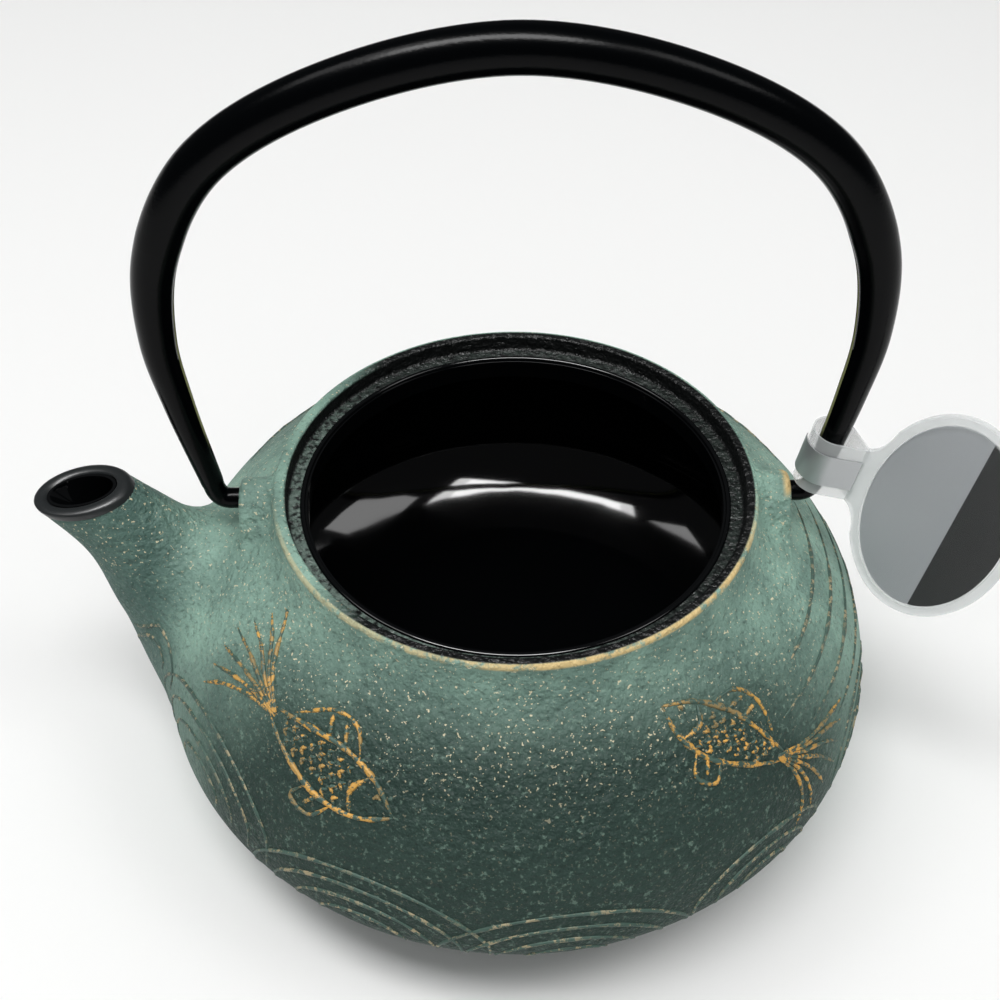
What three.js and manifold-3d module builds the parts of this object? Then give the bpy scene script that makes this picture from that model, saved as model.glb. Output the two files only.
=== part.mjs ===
// Cast iron teapot with a hollow steel bail handle and a plastic hang tag on one handle leg.
// Millimetres, +Z up. The origin is the centre of the flat base, the spout points along -X.
import * as THREE from "three";
import { mergeVertices } from "three/addons/utils/BufferGeometryUtils.js";
import Module from "manifold-3d";

const wasm = await Module();
wasm.setup();

// ---- Driving dimensions ----
const GAP = 0.3; // clearance between pieces that touch on the real object
const ROUND_SIDES = 44; // facets round the pot

// Pot: two quarter superellipses that meet at the belly, with a collar on top.
const BELLY_R = 72;
const BELLY_Z = 26;
const SHOULDER_RISE = 49.3;
const SHOULDER_POWER = 2.04;
const UNDERSIDE_DROP = 32;
const UNDERSIDE_POWER = 1.85;
const WALL = 3.2;
const FLOOR_Z = 6.1;
const RIM_R = 45.8;
const RIM_Z = 70.7;
const RIM_EDGE = 0.8; // rounded outer edge of the rim
const COLLAR_FILLET = 2.6;
const SEAT_R = 43.5; // wall round the lid seat
const SEAT_Z = 67.4; // ledge that a lid rests on
const THROAT_R = 40.5;

// Enamel inside the pot and the spout.
const ENAMEL = 0.6;
const ENAMEL_TOP = SEAT_Z - 0.3;
const ENAMEL_LIP = 1.2; // how far the enamel stops short of the spout's mouth

// Lugs that carry the handle, one at each end of the X axis.
const PIVOT_Z = 66.2;
const LUG_FACE_X = 52.5;
const LUG_ROOT_X = 42;
const LUG_HALF_WIDTH = 8.5;
const LUG_TOP_Z = 70;
const LUG_BOTTOM_Z = 56;
const LUG_POWER = 1.8; // a little more pointed than an ellipse
const PIVOT_HOLE_R = 2.5;
const PIVOT_HOLE_DEPTH = 5.2;

// Spout: an upper and a lower line in the plane y = 0, and a half-width between them.
const SPOUT_UPPER = [[-46, 47], [-55.5, 53.5], [-62.5, 59.2], [-68, 64.8], [-73.2, 70.2]];
const SPOUT_LOWER = [[-50, 13], [-73.5, 20.5], [-80.5, 40], [-84.2, 55.5], [-91.6, 67.3]];
const SPOUT_HALF_WIDTH = { root: 22, mouth: 6.9 };
const SPOUT_STEPS = 10;
const SPOUT_SIDES = 20;
const BORE_WALL = { root: 9, mouth: 2 };

// Bail handle: half of its centreline from one hook to the crown, as [x, z].
const HANDLE_LINE = [[57.2, 69.8], [60.3, 90], [61.4, 104], [58.8, 120.5], [49.3, 137], [30, 148.9]];
const HANDLE_CROWN_Z = 155.5;
const HANDLE_CROWN_R = 3.85;
const HANDLE_FOOT_R = 2.1;
const HANDLE_TAPER_TOP_Z = 124; // above this the tube keeps its full size
const HANDLE_WALL = 1.1;
const HANDLE_SEAM = 0.8; // open seam of the rolled tube, along its inner side
const HANDLE_HOLLOW_Z = 76; // below this the ends are closed up solid
const HANDLE_STEPS = 34;
const HANDLE_SIDES = 12;
const HOOK_R = 2;
const HOOK_TIP_X = LUG_FACE_X - PIVOT_HOLE_DEPTH + 1.2;
const ELBOW_X = 54.2;

// Hang tag: a strap round the +X handle leg, and a card between two films.
const TAG_ORIGIN = new THREE.Vector3(58.1, 0, 75); // on the leg's centreline
const LEG_LEAN = Math.atan2(3.1, 20.2); // the leg leans outward, away from the pot
const TAG_TURN = THREE.MathUtils.degToRad(40); // the tag stands forward of the handle's plane
const LOOP_R = 4.2; // outside of the strap where it goes round the leg
const STRAP_THICK = 0.35;
const STRAP_LOW = -6.2;
const STRAP_HIGH = 6.2;
const NECK_X = 7.4; // where the two sides of the strap come together
const TONGUE_END_X = 9.7;
const FILM_THICK = 0.3;
const CARD_THICK = 0.4;
const TAG_CENTRE_X = 23;
const FILM_HALF = { x: 15, z: 23.2 };
const CARD_BORDER = 2; // clear margin of film round the card
const BAND_HALF_HEIGHT = 3.5;
const BAND_THICK = 0.25;
const BAND_END_X = 7.2;

// ---- Helpers ----

// A closed three.js geometry as a manifold solid.
function toSolid(geometry) {
  const bare = geometry.clone();
  bare.deleteAttribute("normal");
  bare.deleteAttribute("uv");
  const merged = mergeVertices(bare, 1e-4);
  const vertProperties = merged.attributes.position.array;
  const triVerts = new Uint32Array(merged.index.array);
  return new wasm.Manifold(new wasm.Mesh({ numProp: 3, vertProperties, triVerts }));
}

// A manifold solid as a three.js geometry.
function toGeometry(solid) {
  const mesh = solid.getMesh();
  const geometry = new THREE.BufferGeometry();
  geometry.setAttribute("position", new THREE.BufferAttribute(mesh.vertProperties, 3));
  geometry.setIndex(new THREE.BufferAttribute(mesh.triVerts, 1));
  geometry.computeVertexNormals();
  return geometry;
}

// A solid of revolution about Z, from [radius, z] points that run up its outside.
function turned(profile) {
  const points = profile.map(([r, z]) => new THREE.Vector2(r, z));
  return new THREE.LatheGeometry(points, ROUND_SIDES).rotateX(Math.PI / 2);
}

// A tube that follows place(t) for t from 0 to 1. Its section is an ellipse about centre,
// with the half-axes across and along.
function swept(steps, sides, place) {
  const tube = new THREE.CylinderGeometry(1, 1, 1, sides, steps, false, Math.PI / sides);
  const position = tube.attributes.position;
  for (let i = 0; i < position.count; i += 1) {
    const { centre, across, along } = place(0.5 - position.getY(i));
    const point = centre.clone();
    point.addScaledVector(across, position.getX(i));
    point.addScaledVector(along, position.getZ(i));
    position.setXYZ(i, point.x, point.y, point.z);
  }
  return tube;
}

function cylinderAlongX(radius, fromX, toX, z) {
  const cylinder = new THREE.CylinderGeometry(radius, radius, toX - fromX, 24);
  return cylinder.rotateZ(Math.PI / 2).translate((fromX + toX) / 2, 0, z);
}

function mix(a, b, t) {
  return a + (b - a) * t;
}

// Quarter of a superellipse as [radius, height] points. Angle 0 is the widest point.
function superellipseArc(a, b, power, fromAngle, toAngle, count) {
  const points = [];
  for (let i = 0; i <= count; i += 1) {
    const angle = mix(fromAngle, toAngle, i / count);
    points.push([a * Math.cos(angle) ** (2 / power), b * Math.sin(angle) ** (2 / power)]);
  }
  return points;
}

// Angle at which that superellipse has a given height or radius.
function angleAtHeight(b, power, h) {
  return Math.asin((h / b) ** (power / 2));
}

function angleAtRadius(a, power, r) {
  return Math.acos((r / a) ** (power / 2));
}

// ---- Pot ----

// The pot's outside and its inside share one shape: the inside is inset by the wall.
function bowlPoints(inset, bottomZ, topR) {
  const radius = BELLY_R - inset;
  const drop = UNDERSIDE_DROP - inset;
  const rise = SHOULDER_RISE - inset;
  const lowAngle = angleAtHeight(drop, UNDERSIDE_POWER, BELLY_Z - bottomZ);
  const highAngle = angleAtRadius(radius, SHOULDER_POWER, topR);
  const under = superellipseArc(radius, drop, UNDERSIDE_POWER, lowAngle, 0, 5);
  const over = superellipseArc(radius, rise, SHOULDER_POWER, 0, highAngle, 7).slice(1);
  return [...under.map(([r, h]) => [r, BELLY_Z - h]), ...over.map(([r, h]) => [r, BELLY_Z + h])];
}

function potOutside() {
  const shell = bowlPoints(0, 0, RIM_R + COLLAR_FILLET);
  const [filletR, filletZ] = shell.at(-1);
  const collar = [
    [mix(filletR, RIM_R, 0.55), filletZ + COLLAR_FILLET * 0.45],
    [RIM_R, filletZ + COLLAR_FILLET * 1.3],
    [RIM_R, RIM_Z - RIM_EDGE],
    [RIM_R - RIM_EDGE * 0.3, RIM_Z - RIM_EDGE * 0.3],
    [RIM_R - RIM_EDGE, RIM_Z],
  ];
  return toSolid(turned([[0, 0], ...shell, ...collar, [0, RIM_Z]]));
}

function potInside(inset, topZ) {
  const floor = FLOOR_Z + inset;
  const throat = THROAT_R - inset;
  return toSolid(turned([[0, floor], ...bowlPoints(WALL + inset, floor, throat), [throat, topZ], [0, topZ]]));
}

function lidSeat() {
  return toSolid(turned([[0, SEAT_Z], [SEAT_R, SEAT_Z], [SEAT_R, RIM_Z + 1], [0, RIM_Z + 1]]));
}

function railCurve(points) {
  return new THREE.CatmullRomCurve3(points.map(([x, z]) => new THREE.Vector3(x, 0, z)));
}

const spoutUpper = railCurve(SPOUT_UPPER);
const spoutLower = railCurve(SPOUT_LOWER);

// The spout's section at t, from 0 inside the pot to 1 at the mouth, thinned all round by wall.
function spoutSection(t, wall) {
  const upper = spoutUpper.getPoint(t);
  const lower = spoutLower.getPoint(t);
  const halfWidth = mix(SPOUT_HALF_WIDTH.mouth, SPOUT_HALF_WIDTH.root, (1 - t) ** 2);
  const along = lower.clone().sub(upper).multiplyScalar(0.5);
  const centre = upper.clone().add(along);
  along.setLength(along.length() - wall);
  return { centre, across: new THREE.Vector3(0, halfWidth - wall, 0), along };
}

function spoutOutside() {
  return toSolid(swept(SPOUT_STEPS, SPOUT_SIDES, (t) => spoutSection(t, 0)));
}

function spoutBore(inset) {
  const wall = (t) => mix(BORE_WALL.root, BORE_WALL.mouth, t) + inset;
  return toSolid(swept(SPOUT_STEPS, SPOUT_SIDES, (t) => spoutSection(t, wall(t))));
}

// A short upright plug over the spout's mouth, which reaches depth down into it.
function mouthPlug(depth, wall) {
  return toSolid(swept(1, SPOUT_SIDES, (t) => {
    const section = spoutSection(1, wall);
    section.centre.z += mix(-depth, 2, t);
    return section;
  }));
}

// A lug is an arch-topped block that runs out of the collar to a flat face.
function lug(side) {
  const height = LUG_TOP_Z - LUG_BOTTOM_Z;
  const right = superellipseArc(LUG_HALF_WIDTH, height, LUG_POWER, 0, Math.PI / 2, 9);
  const left = right.slice(0, -1).map(([y, h]) => [-y, h]).reverse();
  const arch = outline([...right, ...left].map(([y, h]) => [y, LUG_BOTTOM_Z + h]));
  const block = new THREE.ExtrudeGeometry(arch, { depth: LUG_FACE_X - LUG_ROOT_X, bevelEnabled: false });
  // The arch's plane turns to face along X, with its height along Z.
  block.rotateX(Math.PI / 2).rotateZ(Math.PI / 2).translate(LUG_ROOT_X, 0, 0);
  if (side < 0) block.rotateZ(Math.PI);
  return toSolid(block);
}

function pivotHole(side) {
  const bottomX = LUG_FACE_X - PIVOT_HOLE_DEPTH;
  const hole = cylinderAlongX(PIVOT_HOLE_R, bottomX, LUG_FACE_X + 6, PIVOT_Z);
  if (side < 0) hole.rotateZ(Math.PI);
  return toSolid(hole);
}

function potBody() {
  return potOutside()
    .add(spoutOutside())
    .add(lug(-1))
    .add(lug(1))
    .subtract(potInside(0, RIM_Z + 1))
    .subtract(lidSeat())
    .subtract(spoutBore(0))
    .subtract(mouthPlug(0.01, BORE_WALL.mouth))
    .subtract(pivotHole(-1))
    .subtract(pivotHole(1));
}

// The enamel follows the pot's inside and the spout's bore, a gap away from the iron.
function enamelLining() {
  return potInside(GAP, ENAMEL_TOP)
    .add(spoutBore(GAP))
    .subtract(potInside(GAP + ENAMEL, RIM_Z + 1))
    .subtract(spoutBore(GAP + ENAMEL))
    .subtract(mouthPlug(ENAMEL_LIP, 0));
}

// ---- Bail handle ----

function handleLine() {
  const right = HANDLE_LINE.map(([x, z]) => new THREE.Vector3(x, 0, z));
  const left = right.map((p) => new THREE.Vector3(-p.x, 0, p.z));
  const crown = new THREE.Vector3(0, 0, HANDLE_CROWN_Z);
  return new THREE.CatmullRomCurve3([...left, crown, ...right.reverse()]);
}

function handleRadius(z) {
  const footZ = HANDLE_LINE[0][1];
  const t = THREE.MathUtils.clamp((z - footZ) / (HANDLE_TAPER_TOP_Z - footZ), 0, 1);
  return mix(HANDLE_FOOT_R, HANDLE_CROWN_R, t);
}

// A round tube along part of a curve in the plane y = 0. size(z) gives [half-width, half-depth],
// and inward moves the section towards the inside of the bend.
function tubeAlong(curve, from, to, steps, sides, size, inward = () => 0) {
  return swept(steps, sides, (t) => {
    const u = mix(from, to, t);
    const across = new THREE.Vector3(0, 1, 0);
    const along = curve.getTangentAt(u).cross(across);
    const centre = curve.getPointAt(u);
    const [halfWidth, halfDepth] = size(centre.z);
    centre.addScaledVector(along, inward(centre.z));
    return { centre, across: across.multiplyScalar(halfWidth), along: along.multiplyScalar(halfDepth) };
  });
}

// The share of the handle's length at which its leg reaches a height.
function shareAtHeight(curve, z) {
  let share = 0;
  while (curve.getPointAt(share).z < z) share += 0.001;
  return share;
}

// The hook leaves the foot of the leg in a tight elbow and ends as a pin in the lug.
function hook(side) {
  const [footX, footZ] = HANDLE_LINE[0];
  const line = new THREE.CurvePath();
  const tip = new THREE.Vector3(HOOK_TIP_X, 0, PIVOT_Z);
  const elbowStart = new THREE.Vector3(ELBOW_X, 0, PIVOT_Z);
  const corner = new THREE.Vector3(footX - 0.4, 0, PIVOT_Z);
  const foot = new THREE.Vector3(footX, 0, footZ);
  const leg = new THREE.Vector3(footX + 0.3, 0, footZ + 2);
  line.add(new THREE.LineCurve3(tip, elbowStart));
  line.add(new THREE.QuadraticBezierCurve3(elbowStart, corner, foot));
  line.add(new THREE.LineCurve3(foot, leg));
  const tube = tubeAlong(line, 0, 1, 12, HANDLE_SIDES, () => [HOOK_R, HOOK_R]);
  if (side < 0) tube.rotateZ(Math.PI);
  return toSolid(tube);
}

function bailHandle() {
  const line = handleLine();
  const hollowFrom = shareAtHeight(line, HANDLE_HOLLOW_Z);
  const hollowTo = 1 - hollowFrom;
  const outer = (z) => [handleRadius(z), handleRadius(z)];
  const inner = (z) => outer(z).map((r) => r - HANDLE_WALL);
  // A square section reaches 0.71 of its half-axes, so the seam's half-axes are larger.
  const seam = (z) => [HANDLE_SEAM * 0.71, handleRadius(z) * 0.85];
  const seamInward = (z) => handleRadius(z) * 0.7;
  const hollowSteps = HANDLE_STEPS - 4;
  return toSolid(tubeAlong(line, 0, 1, HANDLE_STEPS, HANDLE_SIDES, outer))
    .add(hook(-1))
    .add(hook(1))
    .subtract(toSolid(tubeAlong(line, hollowFrom, hollowTo, hollowSteps, 8, inner)))
    .subtract(toSolid(tubeAlong(line, hollowFrom, hollowTo, hollowSteps, 4, seam, seamInward)));
}

// ---- Hang tag, drawn with X away from the leg, Y from its front to its back and Z up the leg ----

// Half of the strap's outline as [x, y] points, from behind the leg to the neck.
function loopSide(radius, neckHalf, startAngle, endX) {
  const tangentAngle = Math.acos(radius / NECK_X);
  const points = [];
  for (let i = 0; i <= 10; i += 1) {
    const angle = mix(startAngle, tangentAngle, i / 10);
    points.push([radius * Math.cos(angle), radius * Math.sin(angle)]);
  }
  const [lastX, lastY] = points.at(-1);
  const share = (endX - lastX) / (NECK_X - lastX);
  points.push([endX, mix(lastY, neckHalf, Math.min(share, 1))]);
  return points;
}

function outline(points) {
  return new THREE.Shape(points.map(([x, y]) => new THREE.Vector2(x, y)));
}

function mirrored(points) {
  return points.map(([x, y]) => [x, -y]).reverse();
}

// Both halves of an outline, anticlockwise round from the neck.
function bothSides(side) {
  return [...side, ...mirrored(side).slice(0, -1)].reverse();
}

function tagStrap() {
  const half = CARD_THICK / 2;
  const outside = [...loopSide(LOOP_R, half, Math.PI, NECK_X), [TONGUE_END_X, half]];
  const inside = loopSide(LOOP_R - STRAP_THICK, 0, Math.PI, NECK_X - 1.2);
  const shape = outline(bothSides(outside));
  shape.holes.push(outline(bothSides(inside)));
  const depth = STRAP_HIGH - STRAP_LOW;
  return new THREE.ExtrudeGeometry(shape, { depth, bevelEnabled: false }).translate(0, 0, STRAP_LOW);
}

// A silvered strip over the strap's front, from the leg to the neck.
function tagBand() {
  const start = THREE.MathUtils.degToRad(165);
  const under = loopSide(LOOP_R + GAP, CARD_THICK / 2 + GAP, start, BAND_END_X);
  const over = loopSide(LOOP_R + GAP + BAND_THICK, CARD_THICK / 2 + GAP + BAND_THICK, start, BAND_END_X);
  const shape = outline(mirrored([...under, ...over.reverse()]));
  const depth = 2 * BAND_HALF_HEIGHT;
  return new THREE.ExtrudeGeometry(shape, { depth, bevelEnabled: false }).translate(0, 0, -BAND_HALF_HEIGHT);
}

// An upright oval plate whose middle plane is at y.
function ovalPlate(halfX, halfZ, thickness, y) {
  const oval = new THREE.Shape();
  oval.absellipse(TAG_CENTRE_X, 0, halfX, halfZ, 0, 2 * Math.PI);
  const plate = new THREE.ExtrudeGeometry(oval, { depth: thickness, bevelEnabled: false, curveSegments: 24 });
  return plate.rotateX(Math.PI / 2).translate(0, y + thickness / 2, 0);
}

function tagFilm(side) {
  const y = side * (CARD_THICK / 2 + GAP + FILM_THICK / 2);
  return ovalPlate(FILM_HALF.x, FILM_HALF.z, FILM_THICK, y);
}

function tagCard() {
  return ovalPlate(FILM_HALF.x - CARD_BORDER, FILM_HALF.z - CARD_BORDER, CARD_THICK, 0);
}

// ---- Assembly ----

function material(colour, roughness, metalness, opacity = 1) {
  return new THREE.MeshStandardMaterial({
    color: colour,
    roughness,
    metalness,
    opacity,
    transparent: opacity < 1,
  });
}

function piece(name, geometry, look) {
  const mesh = new THREE.Mesh(geometry, look);
  mesh.name = name;
  return mesh;
}

const patina = material(0x5f7f75, 0.7, 0.3);
const enamel = material(0x0a0a0b, 0.15, 0);
const blackPaint = material(0x16181a, 0.4, 0.4);
const clearPlastic = material(0xe8eef0, 0.1, 0, 0.35);
const foil = material(0xb9bcbc, 0.35, 0.6);
const printedCard = material(0xa9adae, 0.5, 0);

const tag = new THREE.Group();
tag.position.copy(TAG_ORIGIN);
tag.rotation.set(0, LEG_LEAN, -TAG_TURN);
tag.add(piece("tag_strap", tagStrap(), clearPlastic));
tag.add(piece("tag_band", tagBand(), foil));
tag.add(piece("tag_film_front", tagFilm(-1), clearPlastic));
tag.add(piece("tag_card", tagCard(), printedCard));
tag.add(piece("tag_film_back", tagFilm(1), clearPlastic));

const handle = new THREE.Group();
handle.add(piece("bail_handle", toGeometry(bailHandle()), blackPaint));
handle.add(tag);

const teapot = new THREE.Group();
teapot.add(piece("pot_body", toGeometry(potBody()), patina));
teapot.add(piece("enamel_lining", toGeometry(enamelLining()), enamel));
teapot.add(handle);

export default teapot;
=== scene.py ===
"""Looks of the cast iron teapot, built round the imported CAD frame.

All sizes below are millimetres in the frame's axes; meshes are written in metres.
"""
import math

import bpy
import numpy as np
from mathutils import Matrix, Vector
from mathutils.bvhtree import BVHTree


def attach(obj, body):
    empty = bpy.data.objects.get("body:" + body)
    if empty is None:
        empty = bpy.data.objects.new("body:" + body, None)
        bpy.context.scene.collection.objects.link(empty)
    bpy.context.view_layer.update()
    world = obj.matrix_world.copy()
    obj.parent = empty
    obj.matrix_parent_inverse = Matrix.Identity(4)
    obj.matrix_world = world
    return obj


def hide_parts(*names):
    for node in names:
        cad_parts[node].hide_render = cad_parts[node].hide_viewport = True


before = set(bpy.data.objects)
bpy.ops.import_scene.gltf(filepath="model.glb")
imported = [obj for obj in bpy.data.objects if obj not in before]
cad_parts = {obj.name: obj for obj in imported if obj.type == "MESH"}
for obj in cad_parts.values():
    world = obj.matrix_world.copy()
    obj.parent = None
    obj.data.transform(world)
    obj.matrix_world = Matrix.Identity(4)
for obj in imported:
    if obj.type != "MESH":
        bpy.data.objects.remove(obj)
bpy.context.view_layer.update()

MM = 0.001

# ---- Sizes shared with the CAD part ----
BELLY_R, BELLY_Z = 72, 26
SHOULDER_RISE, SHOULDER_POWER = 49.3, 2.04
UNDERSIDE_DROP, UNDERSIDE_POWER = 32, 1.85
WALL, FLOOR_Z = 3.2, 6.1
RIM_R, RIM_Z = 45.8, 70.7
SEAT_R, SEAT_Z, THROAT_R = 43.5, 67.4, 40.5
GAP, ENAMEL = 0.3, 0.6
PIVOT_Z, LUG_FACE_X, LUG_ROOT_X = 66.2, 52.5, 42
LUG_HALF_WIDTH, LUG_TOP_Z, LUG_BOTTOM_Z, LUG_POWER = 8.5, 70, 56, 1.8
PIVOT_HOLE_R, PIVOT_HOLE_DEPTH = 2.5, 5.2
SPOUT_UPPER = [(-46, 47), (-55.5, 53.5), (-62.5, 59.2), (-68, 64.8), (-73.2, 70.2)]
SPOUT_LOWER = [(-50, 13), (-73.5, 20.5), (-80.5, 40), (-84.2, 55.5), (-91.6, 67.3)]
SPOUT_HALF_WIDTH = {"root": 22, "mouth": 6.9}
BORE_WALL = {"root": 9, "mouth": 2}
HANDLE_LINE = [(57.2, 69.8), (60.3, 90), (61.4, 104), (58.8, 120.5), (49.3, 137), (30, 148.9)]
HANDLE_CROWN_Z, HANDLE_CROWN_R, HANDLE_FOOT_R, HANDLE_TAPER_TOP_Z = 155.5, 3.85, 2.1, 124
HOOK_R, HOOK_TIP_X, ELBOW_X = 2, 48.5, 54.2
TAG_ORIGIN = Vector((58.1, 0, 75))
LEG_LEAN = math.atan2(3.1, 20.2)
TAG_TURN = math.radians(40)
LOOP_R, NECK_X, STRAP_THICK, STRAP_HALF = 4.2, 7.4, 0.35, 6.2
TAG_CENTRE_X = 23
FILM_HALF = (15, 23.2)
CARD_BORDER, CARD_THICK = 2, 0.4
BAND_HALF_HEIGHT = 3.5

# ---- Helpers: numbers and lines ----


def mix(a, b, t):
    return a + (b - a) * t


def soft_min(a, b, reach):
    """The smaller of two distances, rounded where they are within reach of each other."""
    near = np.maximum(reach - np.abs(a - b), 0) / reach
    return np.minimum(a, b) - near * near * reach / 4


def soft_max(a, b, reach):
    return -soft_min(-a, -b, reach)


def smooth_line(points, shares):
    """A centripetal Catmull-Rom line through points, read at shares from 0 to 1."""
    points = np.array(points, float)
    knots = [2 * points[0] - points[1], *points, 2 * points[-1] - points[-2]]
    spans = len(points) - 1
    found = []
    for share in shares:
        span = min(int(share * spans), spans - 1)
        t = share * spans - span
        a, b, c, d = knots[span:span + 4]
        ab, bc, cd = (math.sqrt(np.linalg.norm(q - p)) for p, q in ((a, b), (b, c), (c, d)))
        leave = ((b - a) / ab - (c - a) / (ab + bc) + (c - b) / bc) * bc
        arrive = ((c - b) / bc - (d - b) / (bc + cd) + (d - c) / cd) * bc
        cube = 2 * b - 2 * c + leave + arrive
        square = -3 * b + 3 * c - 2 * leave - arrive
        found.append(((cube * t + square) * t + leave) * t + b)
    return np.array(found)


def superellipse_arc(a, b, power, from_angle, to_angle, count):
    angle = np.linspace(from_angle, to_angle, count + 1)
    return np.stack([a * np.cos(angle) ** (2 / power), b * np.sin(angle) ** (2 / power)], 1)


def bowl_points(inset, bottom_z, top_r):
    """The pot's outside as [radius, z] points from bottom_z up to top_r, moved in by inset."""
    radius, drop, rise = BELLY_R - inset, UNDERSIDE_DROP - inset, SHOULDER_RISE - inset
    low = math.asin(((BELLY_Z - bottom_z) / drop) ** (UNDERSIDE_POWER / 2))
    high = math.acos((top_r / radius) ** (SHOULDER_POWER / 2))
    under = superellipse_arc(radius, drop, UNDERSIDE_POWER, low, 0, 26) * (1, -1)
    over = superellipse_arc(radius, rise, SHOULDER_POWER, 0, high, 40)[1:]
    return np.concatenate([under, over]) + (0, BELLY_Z)


def arc_points(centre, radius, from_degrees, to_degrees, count):
    angle = np.radians(np.linspace(from_degrees, to_degrees, count + 1))
    return np.array(centre) + radius * np.stack([np.cos(angle), np.sin(angle)], 1)


# ---- Helpers: meshes ----


def new_object(name, points, faces):
    """A mesh object from points in millimetres."""
    mesh = bpy.data.meshes.new(name)
    mesh.from_pydata((np.asarray(points, float) * MM).tolist(), [], [list(map(int, f)) for f in faces])
    mesh.validate()
    mesh.polygons.foreach_set("use_smooth", [True] * len(mesh.polygons))
    obj = bpy.data.objects.new(name, mesh)
    bpy.context.scene.collection.objects.link(obj)
    return obj


def tube_faces(rings, sides, closed=False):
    """Quads between rings of points, with a fan of one face on each end unless the tube is closed."""
    faces = []
    for ring in range(rings if closed else rings - 1):
        a, b = ring * sides, (ring + 1) % rings * sides
        faces += [(a + i, a + (i + 1) % sides, b + (i + 1) % sides, b + i) for i in range(sides)]
    if not closed:
        faces.append(tuple(range(sides))[::-1])
        faces.append(tuple(range((rings - 1) * sides, rings * sides)))
    return faces


def turned(name, profile, columns):
    """A closed solid of revolution about Z from [radius, z] points that run up its outside."""
    profile = [(r, z) for r, z in profile]
    angle = np.linspace(0, 2 * math.pi, columns, endpoint=False)
    rings = [np.stack([r * np.cos(angle), r * np.sin(angle), np.full(columns, z)], 1)
             for r, z in profile if r > 0]
    points = np.concatenate(rings)
    faces = tube_faces(len(rings), columns)[:-2]
    for ring, (r, z), order in ((0, profile[0], 1), (len(rings) - 1, profile[-1], -1)):
        centre = len(points)
        points = np.concatenate([points, [(0, 0, z)]])
        rim = [ring * columns + i for i in range(columns)]
        faces += [(centre, rim[(i + 1) % columns], rim[i])[::order] for i in range(columns)]
    return new_object(name, points, faces)


def turned_ring(name, profile, columns):
    """A closed ring about Z whose section is the closed line of [radius, z] points, anticlockwise."""
    angle = np.linspace(0, 2 * math.pi, columns, endpoint=False)
    rings = [np.stack([r * np.cos(angle), r * np.sin(angle), np.full(columns, z)], 1) for r, z in profile]
    return new_object(name, np.concatenate(rings), tube_faces(len(rings), columns, closed=True))


def boolean(obj, tool, operation):
    """Adds, cuts or keeps tool's solid, and leaves a plain mesh. The tool is removed."""
    modifier = obj.modifiers.new("boolean", "BOOLEAN")
    modifier.operation = operation
    modifier.object = tool
    modifier.solver = "MANIFOLD"
    depsgraph = bpy.context.evaluated_depsgraph_get()
    mesh = bpy.data.meshes.new_from_object(obj.evaluated_get(depsgraph))
    obj.modifiers.clear()
    obj.data = mesh
    bpy.data.objects.remove(tool)
    return obj


def join(objects, name):
    """One object from several, by gathering their points and faces."""
    points, faces = [], []
    for obj in objects:
        start = len(points)
        points += [tuple(v.co / MM) for v in obj.data.vertices]
        faces += [tuple(start + i for i in p.vertices) for p in obj.data.polygons]
        bpy.data.objects.remove(obj)
    return new_object(name, points, faces)


def finish_piece(obj, body, look, replaces=(), sharp=None):
    """Puts a piece on its body with its material, and hides the CAD nodes it stands for."""
    obj.data.materials.clear()
    obj.data.materials.append(look)
    obj.data.polygons.foreach_set("use_smooth", [True] * len(obj.data.polygons))
    if sharp:
        obj.data.set_sharp_from_angle(angle=math.radians(sharp))
    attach(obj, body)
    if replaces:
        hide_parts(*replaces)
    return obj


# ---- Pot: outside surface ----

# How near two surfaces come before they are blended into each other.
SPOUT_FILLET = 9
LUG_FILLET = 2
COLLAR_FILLET = 5
MOUTH_FILLET = 1.6
BASE_FILLET = 3
LUG_EDGE = 0.55
COLLAR_FOOT_Z = 50
TRIM_HEIGHT = 2.5  # how far the collar runs on above the rim
SURFACE_CELL = 1.0
SPOUT_SIDES = 64
FAR = 50.0  # stands for any distance that is too large to matter


def first_order(value_at, points):
    """Turns an implicit value into a distance near its surface by dividing it by its slope."""
    step = 0.02
    value = value_at(points)
    slope = [(value_at(points + step * axis) - value) / step for axis in np.eye(3)]
    return value / np.maximum(np.linalg.norm(slope, axis=0), 1e-6)


def bowl_value(points):
    radius = np.hypot(points[:, 0], points[:, 1])
    height = points[:, 2] - BELLY_Z
    power = np.where(height > 0, SHOULDER_POWER, UNDERSIDE_POWER)
    reach = np.where(height > 0, SHOULDER_RISE, UNDERSIDE_DROP)
    return ((radius / BELLY_R) ** power + (np.abs(height) / reach) ** power) ** (1 / power) - 1


def collar_distance(points):
    """The collar's wall. It runs on above the rim, which is trimmed to its real height later."""
    radius = np.hypot(points[:, 0], points[:, 1])
    ends = np.maximum(COLLAR_FOOT_Z - points[:, 2], points[:, 2] - RIM_Z - TRIM_HEIGHT)
    return np.maximum(radius - RIM_R, ends)


def lug_distance(points, side):
    height = np.maximum(points[:, 2] - LUG_BOTTOM_Z, 0) / (LUG_TOP_Z - LUG_BOTTOM_Z)
    width = np.abs(points[:, 1]) / LUG_HALF_WIDTH
    arch = ((width ** LUG_POWER + height ** LUG_POWER) ** (1 / LUG_POWER) - 1) * LUG_HALF_WIDTH
    ends = np.maximum(side * points[:, 0] - LUG_FACE_X, LUG_ROOT_X - side * points[:, 0])
    return np.maximum(soft_max(arch, ends, LUG_EDGE * 2), LUG_BOTTOM_Z - points[:, 2])


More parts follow.
